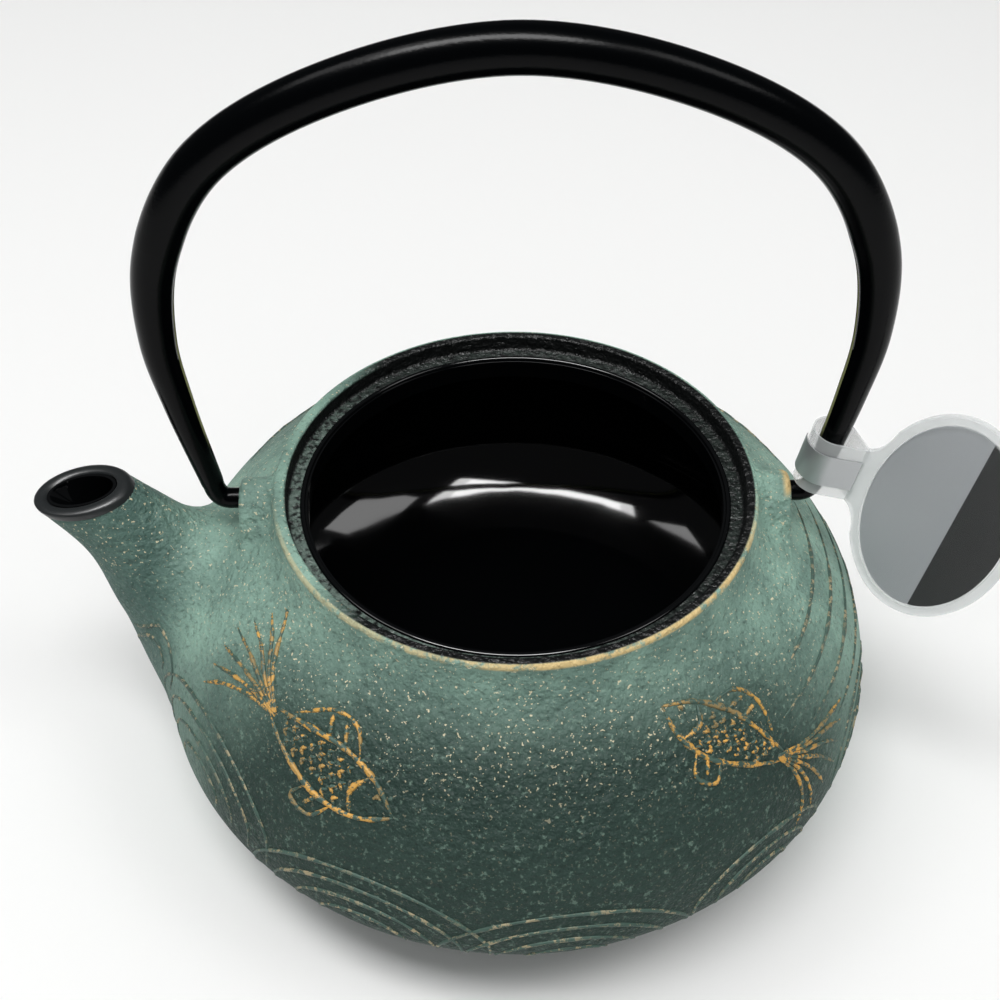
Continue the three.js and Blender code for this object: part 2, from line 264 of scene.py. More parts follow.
def spout_sections(shares, wall):
    """Points round the spout at each share of its length, from 0 inside the pot to 1 at the mouth."""
    upper, lower = smooth_line(SPOUT_UPPER, shares), smooth_line(SPOUT_LOWER, shares)
    rings = []
    for share, high, low in zip(shares, upper, lower):
        half_width = mix(SPOUT_HALF_WIDTH["mouth"], SPOUT_HALF_WIDTH["root"], (1 - share) ** 2)
        along = (high - low) / 2
        length = np.linalg.norm(along)
        thin = wall(share)
        rings.append(ellipse_ring((high + low) / 2, along / length, half_width - thin, length - thin))
    return rings


def ellipse_ring(centre, along, half_width, half_length):
    angle = np.linspace(0, 2 * math.pi, SPOUT_SIDES, endpoint=False)
    x = centre[0] + along[0] * half_length * np.cos(angle)
    z = centre[1] + along[1] * half_length * np.cos(angle)
    return np.stack([x, half_width * np.sin(angle), z], 1)


def spout_tree():
    """The spout's side walls for distance queries. They run on past the mouth, which a plane trims."""
    rings = spout_sections(np.linspace(0, 1, 90), lambda share: 0)
    root = rings[0].mean(0)
    rings.insert(0, root + (rings[0] - root) * 0.55 + (7, 0, 0))
    for _ in range(8):
        rings.append(rings[-1] + (rings[-1] - rings[-2]).mean(0) * 1.4)
    points = np.concatenate(rings)
    faces = tube_faces(len(rings), SPOUT_SIDES)
    return BVHTree.FromPolygons(points.tolist(), faces)


def spout_distance(points, tree):
    """Signed distance to the spout. Far points get a plain large value."""
    found = np.full(len(points), FAR)
    near = np.nonzero((points[:, 0] < -34) & (np.abs(points[:, 1]) < 34))[0]
    for i in near:
        p = Vector(points[i])
        place, normal, _, distance = tree.find_nearest(p)
        found[i] = distance if (p - place).dot(normal) > 0 else -distance
    upper, lower = np.array(SPOUT_UPPER[-1]), np.array(SPOUT_LOWER[-1])
    along = (upper - lower) / np.linalg.norm(upper - lower)
    over_mouth = -(points[:, 0] - lower[0]) * along[1] + (points[:, 2] - lower[1]) * along[0]
    return soft_max(found, over_mouth, MOUTH_FILLET)


def pot_distance(points, tree):
    bowl = first_order(bowl_value, points)
    bowl = soft_max(bowl, -points[:, 2], BASE_FILLET)
    body = soft_min(bowl, collar_distance(points), COLLAR_FILLET)
    for side in (-1, 1):
        body = soft_min(body, lug_distance(points, side), LUG_FILLET)
    return soft_min(body, spout_distance(points, tree), SPOUT_FILLET)


def surface_net(values, low, cell):
    """Points and quads on the zero surface of values given on a grid."""
    shape = np.array(values.shape) - 1
    total, count = np.zeros((*shape, 3)), np.zeros(shape)
    crossings = []
    for axis in range(3):
        first = np.take(values, range(shape[axis]), axis)
        second = np.take(values, range(1, shape[axis] + 1), axis)
        crosses = (first < 0) != (second < 0)
        crossings.append((crosses, first < 0))
        share = np.where(crosses, first / np.where(crosses, first - second, 1), 0)
        others = [a for a in range(3) if a != axis]
        for du in (0, 1):
            for dv in (0, 1):
                part = [slice(None)] * 3
                part[others[0]] = slice(du, du + shape[others[0]])
                part[others[1]] = slice(dv, dv + shape[others[1]])
                here = crosses[tuple(part)]
                count += here
                total[..., axis] += share[tuple(part)]
                total[..., others[0]] += here * du
                total[..., others[1]] += here * dv
    used = count > 0
    number = np.full(used.shape, -1)
    number[used] = np.arange(used.sum())
    points = np.argwhere(used) + total[used] / count[used][:, None]
    faces = []
    for axis, (crosses, inside) in enumerate(crossings):
        u, v = (axis + 1) % 3, (axis + 2) % 3
        at = np.argwhere(crosses)
        at = at[(at[:, u] > 0) & (at[:, v] > 0) & (at[:, u] < shape[u]) & (at[:, v] < shape[v])]
        corners = []
        for du, dv in ((1, 1), (0, 1), (0, 0), (1, 0)):
            cell_at = at.copy()
            cell_at[:, u] -= du
            cell_at[:, v] -= dv
            corners.append(number[tuple(cell_at.T)])
        quads = np.stack(corners, 1)
        flip = ~inside[tuple(at.T)]
        quads[flip] = quads[flip][:, ::-1]
        faces.append(quads)
    return points * cell + low, np.concatenate(faces)


def onto_surface(points, distance, rounds=3):
    """Moves points along the slope of a distance onto its zero surface."""
    step = 0.05
    for _ in range(rounds):
        value = distance(points)
        slope = np.stack([(distance(points + step * axis) - value) / step for axis in np.eye(3)], 1)
        points = points - slope * (value / np.maximum((slope ** 2).sum(1), 0.2))[:, None]
    return points


def pot_shell():
    """The pot's outside as one closed surface, without its cavity."""
    tree = spout_tree()
    low, high = np.array([-95, -75, -3.0]), np.array([75, 75, 78.0])
    axes = [np.arange(a, b, SURFACE_CELL) for a, b in zip(low, high)]
    grid = np.stack(np.meshgrid(*axes, indexing="ij"), -1).reshape(-1, 3)
    values = pot_distance(grid, tree).reshape([len(a) for a in axes])
    points, faces = surface_net(values, low, SURFACE_CELL)
    points = onto_surface(points, lambda p: pot_distance(p, tree))
    return new_object("pot_visual", points, faces)


# Radii of the rounded edges and corner round the lid seat.
THROAT_EDGE, SEAT_CORNER, INNER_EDGE, RIM_EDGE = 0.6, 0.7, 0.5, 0.65
CLEAR_R, CLEAR_Z = 60, 80  # well past the collar and over the rim


def cavity_profile():
    """Everything that is cut from the pot about its axis: inside, lid seat and the space over the rim."""
    inside = [(0, FLOOR_Z), *bowl_points(WALL, FLOOR_Z, THROAT_R)]
    throat_edge = arc_points((THROAT_R + THROAT_EDGE, SEAT_Z - THROAT_EDGE), THROAT_EDGE, 180, 90, 4)
    seat_corner = arc_points((SEAT_R - SEAT_CORNER, SEAT_Z + SEAT_CORNER), SEAT_CORNER, 270, 360, 4)
    inner_edge = arc_points((SEAT_R + INNER_EDGE, RIM_Z - INNER_EDGE), INNER_EDGE, 180, 90, 4)
    outer_edge = arc_points((RIM_R - RIM_EDGE, RIM_Z - RIM_EDGE), RIM_EDGE, 90, 0, 6)
    # A hair outside the collar, so that the cut leaves its wall alone.
    over_rim = [(RIM_R + 0.02, RIM_Z - RIM_EDGE - 0.01), (CLEAR_R, RIM_Z - RIM_EDGE), (CLEAR_R, CLEAR_Z),
                (0, CLEAR_Z)]
    return [*inside, *throat_edge, *seat_corner, *inner_edge, *outer_edge, *over_rim]


HOLE_SIDES = 40
HOLE_CHAMFER = 0.8


def pivot_hole(side):
    """The blind hole for a hook, opened out at the lug's face."""
    angle = np.linspace(0, 2 * math.pi, HOLE_SIDES, endpoint=False)
    wide = PIVOT_HOLE_R + HOLE_CHAMFER
    rings = []
    for x, r in ((LUG_FACE_X - PIVOT_HOLE_DEPTH, PIVOT_HOLE_R), (LUG_FACE_X - HOLE_CHAMFER / 2, PIVOT_HOLE_R),
                 (LUG_FACE_X + HOLE_CHAMFER / 2, wide), (LUG_FACE_X + 4, wide)):
        ring = np.stack([np.full(HOLE_SIDES, x), r * np.cos(angle), PIVOT_Z + r * np.sin(angle)], 1)
        rings.append(ring * (side, side, 1))
    return new_object("hole", np.concatenate(rings), tube_faces(len(rings), HOLE_SIDES))


BORE_OVERSHOOT = 6
MOUTH_EXTRA_WALL = 0.2  # covered by the black lip


def bore_solid(inset, reach):
    """The spout's channel, which narrows to the mouth and runs on past it by reach."""
    def wall(share):
        return mix(BORE_WALL["root"], BORE_WALL["mouth"] + MOUTH_EXTRA_WALL, share) + inset
    rings = spout_sections(np.linspace(0, 1, 60), wall)
    if reach:
        rings.append(rings[-1] + (0, 0, reach))
    return new_object("bore", np.concatenate(rings), tube_faces(len(rings), SPOUT_SIDES))


def pot_visual(look):
    pot = pot_shell()
    boolean(pot, turned("cavity", cavity_profile(), 240), "DIFFERENCE")
    boolean(pot, bore_solid(0, BORE_OVERSHOOT), "DIFFERENCE")
    for side in (-1, 1):
        boolean(pot, pivot_hole(side), "DIFFERENCE")
    return finish_piece(pot, "pot", look, ["pot_body"], sharp=50)


# ---- Enamel ----


def enamel_visual(look):
    """A glassy lining: the inside of the pot, the channel of the spout and the edge of the throat."""
    def inside(inset, top):
        throat = THROAT_R - inset
        floor = FLOOR_Z + inset
        profile = [(0, floor), *bowl_points(WALL + inset, floor, throat)]
        return turned("inside", [*profile, (throat, top), (0, top)], 240)
    lining = inside(GAP, SEAT_Z - 0.3)
    boolean(lining, bore_solid(GAP, 0), "UNION")
    hollow = inside(GAP + ENAMEL, CLEAR_Z)
    boolean(hollow, bore_solid(GAP + ENAMEL, BORE_OVERSHOOT), "UNION")
    boolean(lining, hollow, "DIFFERENCE")
    lip_line = [*arc_points((THROAT_R, SEAT_Z - 0.15), 0.5, 180, 0, 10), (THROAT_R + 0.45, SEAT_Z - 0.5),
                (THROAT_R - 0.5, SEAT_Z - 2)]
    lip = turned_ring("lip", lip_line[::-1], 300)
    piece = join([lining, lip], "enamel_visual")
    return finish_piece(piece, "pot", look, ["enamel_lining"], sharp=40)


# The lip's section: how far in from the spout's outside, and how far out of its mouth.
LIP_SECTION = [
    (-0.1, -1.5), (-0.15, -0.5), (0.0, 0.05), (0.35, 0.3), (1.0, 0.4), (1.8, 0.35),
    (2.2, 0.1), (2.4, -0.4), (2.6, -2.0), (2.7, -3.2), (1.4, -2.4), (0.6, -1.7),
]


def spout_lip_visual(look):
    """The flat black lip that covers the iron at the spout's mouth."""
    upper, lower = smooth_line(SPOUT_UPPER, [0.9, 1]), smooth_line(SPOUT_LOWER, [0.9, 1])
    centre, along = (upper[1] + lower[1]) / 2, (upper[1] - lower[1]) / 2
    length = np.linalg.norm(along)
    out = (upper[1] + lower[1]) / 2 - (upper[0] + lower[0]) / 2
    out = out / np.linalg.norm(out)
    rings = []
    for inward, outward in LIP_SECTION:
        ring = ellipse_ring(centre, along / length, SPOUT_HALF_WIDTH["mouth"] - inward, length - inward)
        rings.append(ring + np.array([out[0], 0, out[1]]) * outward)
    faces = tube_faces(len(rings), SPOUT_SIDES, closed=True)
    lip = new_object("spout_lip_visual", np.concatenate(rings), faces)
    return finish_piece(lip, "pot", look, sharp=50)


# ---- Relief: half-sunk beads on the pot's outside ----

BEAD_SIDES = 8
BEAD_RINGS = 26

# Lines of a plain fish as [towards the tail, up] from its nose, in millimetres.
FISH_OUTLINE = [
    [(0, 0), (6, 4.2), (14, 5.6), (23, 3.8), (31, 1.2)],
    [(0, 0), (6, -3.5), (14, -4.8), (23, -3.2), (31, -0.8)],
    [(7, 4), (9.2, 0.4), (7.5, -3.6)],
]
FISH_FINS = [
    [(10, 5.4), (14, 10), (20, 9.6), (27, 3.6)],
    [(14, 5.7), (16.5, 9.4)],
    [(18, 5.3), (20, 8.8)],
    [(11, -4.6), (14, -9), (18.5, -8.4), (17, -4.5)],
    [(14, -4.9), (15.8, -7.8)],
    [(3.2, 1.5), (4.2, 1.9), (4.8, 1.2)],
]
# Rings of ripples: degrees from the front towards +X, height, first radius and how many rings.
RIPPLES = [(-58, 30, 6, 4), (-24, 22, 7, 4), (6, 20, 6, 4), (-82, 36, 5, 2), (38, 24, 5, 3), (70, 26, 6, 3)]
BACK_RIPPLES = [(120, 26, 6, 3), (152, 22, 7, 4), (184, 30, 6, 3), (214, 22, 7, 4), (244, 30, 5, 3)]
# Long level lines: first and last angle, height, and how far the line climbs.
SHOULDER_LINES = [(48, 100, 50.6, 3), (52, 104, 46, 2.5), (56, 96, 55, 3), (60, 106, 41, 2),
                  (112, 150, 53, -1), (205, 246, 52, 1.5)]


def tail_lines():
    """Long lines that flow from the fish's tail in a fan."""
    lines = []
    for step in range(7):
        spread = (step - 3) / 3
        lines.append([(30, 0.3 * spread), (37, 3.2 * spread + 0.8), (44, 8.5 * spread + 1.2),
                      (52 - 4 * abs(spread), 12.5 * spread)])
    return lines


def scale_lines():
    """Small arcs in rows along the fish's flank."""
    lines = []
    for row in range(5):
        up = -3.2 + 1.6 * row
        for step in range(7):
            along = 10.5 + 2.5 * step + 1.25 * (row % 2)
            if abs(up - 0.3) < 4.4 - 0.17 * (along - 10):
                lines.append([(along, up + 0.8), (along + 0.9, up), (along, up - 0.8)])
    return lines


def meridian():
    """The bowl's outside: radius, height and length along it."""
    line = bowl_points(0, 8, RIM_R + 3)
    steps = np.linalg.norm(np.diff(line, axis=0), axis=1)
    return line[:, 0], line[:, 1], np.concatenate([[0], np.cumsum(steps)])


def on_pot(line, angle, height, turn=0, size=1, mirror=1):
    """Lays a flat line in millimetres on the bowl round a point, as [x, y, z] points."""
    radius, level, length = meridian()
    smooth = smooth_line(line, np.linspace(0, 1, BEAD_RINGS)) * size * (mirror, 1)
    across = smooth[:, 0] * math.cos(turn) - smooth[:, 1] * math.sin(turn)
    climb = smooth[:, 0] * math.sin(turn) + smooth[:, 1] * math.cos(turn)
    climb = np.interp(height, level, length) + climb
    around = math.radians(angle) + across / np.interp(height, level, radius)
    r, z = np.interp(climb, length, radius), np.interp(climb, length, level)
    return np.stack([r * np.sin(around), -r * np.cos(around), z], 1)


def bead(points, width, height, distance, rng):
    """Rings of a bead along points: it swells and thins by chance and tapers at both ends."""
    points = onto_surface(points, distance, 2)
    steps = 0.1 * np.eye(3)
    normal = np.stack([distance(points + step) - distance(points - step) for step in steps], 1)
    normal /= np.linalg.norm(normal, axis=1)[:, None]
    tangent = np.gradient(points, axis=0)
    tangent /= np.linalg.norm(tangent, axis=1)[:, None]
    side = np.cross(normal, tangent)
    share = np.linspace(0, 1, len(points))
    swell = np.maximum(np.sin(math.pi * share), 0.02) ** 0.4
    for waves in (2, 5, 9):
        swell = swell * (1 + 0.14 * np.sin(2 * math.pi * (waves * share + rng.random())))
    rings = []
    for angle in np.linspace(0, 2 * math.pi, BEAD_SIDES, endpoint=False):
        rings.append(points + side * (width / 2 * math.cos(angle) * swell)[:, None]
                     + normal * (height * math.sin(angle) * swell)[:, None])
    return np.stack(rings, 1).reshape(-1, 3)


def relief_piece(name, beads, distance, look, seed):
    """One piece from beads, each given as (points, width, height)."""
    rng = np.random.default_rng(seed)
    points, faces = [], []
    for line, width, height in beads:
        offset = len(points) * BEAD_RINGS * BEAD_SIDES
        points.append(bead(line, width, height, distance, rng))
        faces += [tuple(int(i) + offset for i in face) for face in tube_faces(BEAD_RINGS, BEAD_SIDES)]
    return finish_piece(new_object(name, np.concatenate(points), faces), "pot", look)


def fish_beads(angle, height, turn, size, mirror):
    place = (angle, height, turn, size, mirror)
    beads = [(on_pot(line, *place), 1.1, 0.42) for line in FISH_OUTLINE]
    beads += [(on_pot(line, *place), 0.8, 0.36) for line in [*FISH_FINS, *tail_lines()]]
    return beads + [(on_pot(line, *place), 0.7, 0.34) for line in scale_lines()]


def ripple_beads(places):
    """Nested arcs round each place, open at the bottom like spreading rings."""
    beads = []
    for angle, height, first, rings in places:
        for ring in range(rings):
            radius = first + 4.2 * ring
            turns = np.radians(np.linspace(200, -20, 7))
            line = [(radius * 1.25 * math.cos(t), radius * 0.8 * math.sin(t)) for t in turns]
            beads.append((on_pot(line, angle, height), 0.8, 0.32))
    return beads


def line_beads():
    radius, level, _ = meridian()
    beads = []
    for start, end, height, climb in SHOULDER_LINES:
        half = math.radians(end - start) / 2 * np.interp(height, level, radius)
        line = [(-half, 0), (-half * 0.4, climb * 0.2), (half * 0.3, climb * 0.5), (half, climb)]
        beads.append((on_pot(line, (start + end) / 2, height), 0.9, 0.34))
    return beads


def relief(gold, tan):
    tree = spout_tree()

    def distance(points):
        return pot_distance(points, tree)
    relief_piece("relief_fish_left", fish_beads(-20, 49, math.radians(-12), 0.98, -1), distance, gold, 21)
    relief_piece("relief_fish_right", fish_beads(27, 60.5, math.radians(-52), 0.82, 1), distance, gold, 22)
    relief_piece("relief_ripples_front", ripple_beads(RIPPLES), distance, tan, 23)
    relief_piece("relief_ripples_back", ripple_beads(BACK_RIPPLES), distance, tan, 24)
    relief_piece("relief_shoulder_lines", line_beads(), distance, tan, 25)


# ---- Handle ----

HANDLE_SIDES = 36
SEAM_DEPTH = 0.5
SEAM_FOOT_Z, SEAM_RUN_OUT = 74, 6


def swept(line, size, notch):
    """Rings round a line in the plane y = 0. size(z) is the radius and notch(z) how deep the seam is cut."""
    tangent = np.gradient(line, axis=0)
    tangent /= np.linalg.norm(tangent, axis=1)[:, None]
    angle = np.linspace(0, 2 * math.pi, HANDLE_SIDES, endpoint=False)
    rings = []
    for (x, z), (tx, tz) in zip(line, tangent):
        radius = np.full(HANDLE_SIDES, size(z))
        radius[0] -= notch(z)
        outward = radius * np.cos(angle)
        rings.append(np.stack([x + tz * outward, radius * np.sin(angle), z - tx * outward], 1))
    return rings


def handle_radius(z):
    t = min(max((z - HANDLE_LINE[0][1]) / (HANDLE_TAPER_TOP_Z - HANDLE_LINE[0][1]), 0), 1)
    return mix(HANDLE_FOOT_R, HANDLE_CROWN_R, t)


def elbow_line():
    """From the pin's tip in the lug, round the elbow to the foot of the leg."""
    foot_x, foot_z = HANDLE_LINE[0]
    start, corner, foot = np.array([(ELBOW_X, PIVOT_Z), (foot_x - 0.4, PIVOT_Z), (foot_x, foot_z)])
    t = np.linspace(0, 1, 14)[:, None]
    bend = start * (1 - t) ** 2 + corner * 2 * t * (1 - t) + foot * t ** 2
    pin = np.linspace((HOOK_TIP_X, PIVOT_Z), start, 8)[:-1]
    return np.concatenate([pin, bend])


def seam_depth(z):
    return SEAM_DEPTH * min(max((z - SEAM_FOOT_Z) / SEAM_RUN_OUT, 0), 1)


def tube_radius(z):
    return handle_radius(z) if z > HANDLE_LINE[0][1] else HOOK_R


def hook_end(ring, push):
    """A smaller ring, pushed along X, that rounds a hook's tip."""
    centre = ring.mean(0)
    return centre + (ring - centre) * 0.8 + np.array([push, 0, 0])


def handle_visual(look):
    left = [(-x, z) for x, z in HANDLE_LINE]
    line = smooth_line([*left, (0, HANDLE_CROWN_Z), *HANDLE_LINE[::-1]], np.linspace(0, 1, 260))
    elbow = elbow_line()
    whole = np.concatenate([elbow[:-1] * (-1, 1), line, elbow[:-1][::-1]])
    rings = swept(whole, tube_radius, seam_depth)
    rings = [hook_end(rings[0], 0.35), *rings, hook_end(rings[-1], -0.35)]
    obj = new_object("handle_visual", np.concatenate(rings), tube_faces(len(rings), HANDLE_SIDES))
    return finish_piece(obj, "bail", look, ["bail_handle"], sharp=55)


# ---- Hang tag ----


def tag_matrix():
    """The tag's own frame: leant with the leg, then turned about it."""
    turn = Matrix.Rotation(LEG_LEAN, 3, "Y") @ Matrix.Rotation(-TAG_TURN, 3, "Z")
    return Matrix.Translation(TAG_ORIGIN) @ turn.to_4x4()


def tag_place(points):
    m = np.array(tag_matrix())
    return np.asarray(points, float) @ m[:3, :3].T + m[:3, 3]


def plate(name, outline, y, thickness, bevel):
    """A flat plate in the tag's plane from an outline of [x, z] points, with a bevelled edge."""
    outline = np.array(outline)
    count = len(outline)
    centre = outline.mean(0)
    step = np.roll(outline, -1, 0) - np.roll(outline, 1, 0)
    normal = np.stack([step[:, 1], -step[:, 0]], 1)
    normal /= np.linalg.norm(normal, axis=1)[:, None]
    if ((outline - centre) * normal).sum() < 0:
        normal = -normal
    rings = []
    for inward, depth in ((bevel * 3, -0.5), (bevel, -0.5), (0, -0.5 + bevel / thickness),
                          (0, 0.5 - bevel / thickness), (bevel, 0.5), (bevel * 3, 0.5)):
        flat = outline - normal * inward
        rings.append(np.stack([flat[:, 0], np.full(count, y + depth * thickness), flat[:, 1]], 1))
    points = np.concatenate(rings)
    return new_object(name, tag_place(points), tube_faces(len(rings), count))


def oval_outline(inset, count=96):
    angle = np.linspace(0, 2 * math.pi, count, endpoint=False)
    half_x, half_z = FILM_HALF[0] - inset, FILM_HALF[1] - inset
    return np.stack([TAG_CENTRE_X + half_x * np.cos(angle), half_z * np.sin(angle)], 1)


def film_outline():
    """The oval, flared at its left into the full width of the strap."""
    oval = oval_outline(0, 120)
    join_z = 12.5
    right = [tuple(p) for p in oval if p[0] > TAG_CENTRE_X - FILM_HALF[0] * 0.86 or abs(p[1]) > join_z]
    right.sort(key=lambda p: math.atan2(p[1], p[0] - TAG_CENTRE_X))
    first, last = right[0], right[-1]
    t = np.linspace(0, 1, 10)[1:-1, None]
    neck_low, neck_high = np.array((NECK_X - 0.6, -STRAP_HALF)), np.array((NECK_X - 0.6, STRAP_HALF))
    flare_high = np.array(last) * (1 - t) ** 2 + np.array((9.6, 7.6)) * 2 * t * (1 - t) + neck_high * t ** 2
    flare_low = neck_low * (1 - t) ** 2 + np.array((9.6, -7.6)) * 2 * t * (1 - t) + np.array(first) * t ** 2
    return [*right, *flare_high.tolist(), tuple(neck_high), tuple(neck_low), *flare_low.tolist()]


def loop_section(radius, thickness, start_degrees, end_x, half):
    """A closed strip round the leg as [x, y] points: both sides from behind the leg to the neck."""
    def side(r, end):
        last = math.degrees(math.acos(min(r / NECK_X, 1)))
        arc = arc_points((0, 0), r, start_degrees, last, 22)
        tail = np.linspace(arc[-1], (end_x, end), 8)[1:]
        return np.concatenate([arc, tail])
    return side(radius, half), side(radius - thickness, half - thickness)


def strip(name, outer, inner, low, high):
    """Extrudes the space between two lines of [x, y] points along the leg."""
    section = [*outer.tolist(), *inner[::-1].tolist()]
    rings = []
    for z, inward in ((low, 0.06), (low + 0.06, 0), (high - 0.06, 0), (high, 0.06)):
        rings.append([(x, y, z) for x, y in section])
    count = len(section)
    return new_object(name, tag_place(np.concatenate(rings)), tube_faces(len(rings), count))


def tag_strap(look):
    outer, inner = loop_section(LOOP_R, STRAP_THICK, 180, NECK_X, CARD_THICK / 2)
    front = strip("front", outer * (1, -1), inner * (1, -1), -STRAP_HALF, STRAP_HALF)
    back = strip("back", outer, inner, -STRAP_HALF, STRAP_HALF)
    obj = join([front, back], "tag_strap_visual")
    return finish_piece(obj, "tag", look, ["tag_strap"], sharp=35)


def tag_band(look):
    outer, inner = loop_section(LOOP_R + 0.45, 0.2, 165, NECK_X - 0.3, 0.75)
    obj = strip("tag_band_visual", outer * (1, -1), inner * (1, -1), -BAND_HALF_HEIGHT, BAND_HALF_HEIGHT)
    return finish_piece(obj, "tag", look, ["tag_band"], sharp=35)


FILM_OFFSET, FILM_THICK, FILM_BEVEL = 0.55, 0.2, 0.06


def tag_films(look):
    for side, name, node in ((-1, "tag_film_front_visual", "tag_film_front"),
                             (1, "tag_film_back_visual", "tag_film_back")):
        obj = plate(name, film_outline(), side * FILM_OFFSET, FILM_THICK, FILM_BEVEL)
        finish_piece(obj, "tag", look, [node], sharp=35)


def tag_card(look):
    obj = plate("tag_card_visual", oval_outline(CARD_BORDER), 0, CARD_THICK, 0.1)
    return finish_piece(obj, "tag", look, ["tag_card"], sharp=35)


# ---- Materials ----


def colour(red, green, blue):
    """A colour from its everyday 0 to 255 values."""
    return tuple((c / 255 / 12.92 if c < 10.3 else ((c / 255 + 0.055) / 1.055) ** 2.4)
                 for c in (red, green, blue)) + (1,)


class Look:
    """A Principled material and short ways to add nodes to it."""

    def __init__(self, name, **values):
        self.material = bpy.data.materials.new(name)
        self.material.use_nodes = True
        self.tree = self.material.node_tree
        self.shader = self.tree.nodes["Principled BSDF"]
        self.place = self.node("ShaderNodeTexCoord").outputs["Object"]
        for key, value in values.items():
            self.set(key.replace("_", " "), value)

    def set(self, socket, value):
        self.link(value, self.shader.inputs[socket])

    def node(self, kind, **settings):
        node = self.tree.nodes.new(kind)
        for key, value in settings.items():
            setattr(node, key, value)
        return node

    def link(self, value, socket):
        if isinstance(value, bpy.types.NodeSocket):
            self.tree.links.new(value, socket)
        else:
            socket.default_value = value

    def math(self, operation, *values):
        node = self.node("ShaderNodeMath", operation=operation)
        for value, socket in zip(values, node.inputs):
            self.link(value, socket)
        return node.outputs[0]

    def span(self, value, low, high, to_low=0, to_high=1):
        """Goes smoothly from to_low to to_high as value goes from low to high."""
        node = self.node("ShaderNodeMapRange", interpolation_type="SMOOTHSTEP")
        for number, socket in zip((value, low, high, to_low, to_high), node.inputs):
            self.link(number, socket)
        return node.outputs[0]

    def noise(self, size, detail=2, roughness=0.5, stretch=(1, 1, 1), seed=0):
        """Noise in object space whose features are about size millimetres across."""
        place = self.node("ShaderNodeMapping")
        self.link(self.place, place.inputs["Vector"])
        place.inputs["Scale"].default_value = stretch
        place.inputs["Location"].default_value = (seed, seed * 0.37, seed * 0.71)
        node = self.node("ShaderNodeTexNoise")
        self.link(place.outputs[0], node.inputs["Vector"])
        node.inputs["Scale"].default_value = 1 / (size * MM)
        node.inputs["Detail"].default_value = detail
        node.inputs["Roughness"].default_value = roughness
        return node.outputs[0]

    def blend(self, share, first, second):
        node = self.node("ShaderNodeMix", data_type="RGBA")
        for value, index in ((share, 0), (first, 6), (second, 7)):
            self.link(value, node.inputs[index])
        return node.outputs[2]

    def bump(self, height, depth, before=None):
        """A bump whose height of 1 stands depth millimetres proud."""
        node = self.node("ShaderNodeBump")
        node.inputs["Distance"].default_value = depth * MM
        self.link(height, node.inputs["Height"])
        if before:
            self.link(before, node.inputs["Normal"])
        return node.outputs[0]

    def radius_and_height(self):
        """Distance from the pot's axis and height in millimetres, then x and y in metres."""
        split = self.node("ShaderNodeSeparateXYZ")
        self.link(self.place, split.inputs[0])
        x, y, z = split.outputs
        square = self.math("ADD", self.math("MULTIPLY", x, x), self.math("MULTIPLY", y, y))
        radius = self.math("MULTIPLY", self.math("SQRT", square), 1000)
        return radius, self.math("MULTIPLY", z, 1000), x, y


def tag_plane(look):
    """Distances along the tag from the handle leg and up it, in millimetres."""
    found = []
    for axis in ((1, 0, 0), (0, 0, 1)):
        direction = tag_matrix().to_3x3() @ Vector(axis)
        node = look.node("ShaderNodeVectorMath", operation="DOT_PRODUCT")
        look.link(look.place, node.inputs[0])
        node.inputs[1].default_value = direction
        start = direction.dot(TAG_ORIGIN) * MM
        found.append(look.math("MULTIPLY", look.math("SUBTRACT", node.outputs["Value"], start), 1000))
    return found


def patina_colours(look, x, y, height, grain):
    """Sage and moss paint, with painted shade low on the front and back, darker on the spout, and with grain
    and pale flecks.
    """
    # The third colour is the dark teal of the painted shade on the lower belly.
    sage, moss, shade_teal = colour(142, 176, 160), colour(112, 142, 130), colour(20, 46, 39)
    mottle = look.noise(12, 3, 0.55, seed=5)
    base = look.blend(look.span(mottle, 0.3, 0.7), moss, sage)
    # Painted shade: dark teal low on the front and back of the belly, where the overhead light leaves it
    # dark.
    low = look.math("MULTIPLY", look.span(look.math("ABSOLUTE", y), 16, 50), look.span(height, 73, 54))
    base = look.blend(look.math("MULTIPLY", low, 0.96), base, shade_teal)
    spout = look.span(look.math("MULTIPLY", x, -1), 60, 72)
    base = look.blend(look.math("MULTIPLY", spout, 0.75), base, colour(46, 76, 71))
    base = look.blend(look.span(grain, 0.55, 0.72, 0, 0.42), base, colour(134, 162, 146))
    base = look.blend(look.span(grain, 0.46, 0.3, 0, 0.4), base, colour(32, 52, 48))
    flecks = look.span(look.noise(0.6, 1, 0.5, seed=31), 0.66, 0.72)
    high = look.span(height, 46, 62, 0.1, 0.85)
    return look.blend(look.math("MULTIPLY", flecks, high), base, colour(222, 210, 176))


def bare_metal(look, x, y, radius, height):
    """Where the paint is worn through: along the front of the rim and on the right lug's corner."""
    front = look.span(look.math("MULTIPLY", y, -1), 2, 26)
    front = look.math("MULTIPLY", front, look.span(x, -34, 10, 0.45, 1))
    corner = look.math("MULTIPLY", look.span(radius, 44.9, 45.3), look.span(radius, 46.5, 46.0))
    corner = look.math("MULTIPLY", corner, look.span(height, 69.5, 70.1))
    broken = look.span(look.noise(4, 4, 0.7, seed=12), 0.36, 0.5)
    wear = look.math("MULTIPLY", look.math("MULTIPLY", corner, front), broken)
    lug_corner = look.math("MULTIPLY", look.span(x, 50.4, 51.6), look.span(height, 67.6, 69.0))
    return look.math("MAXIMUM", wear, look.math("MULTIPLY", lug_corner, broken))


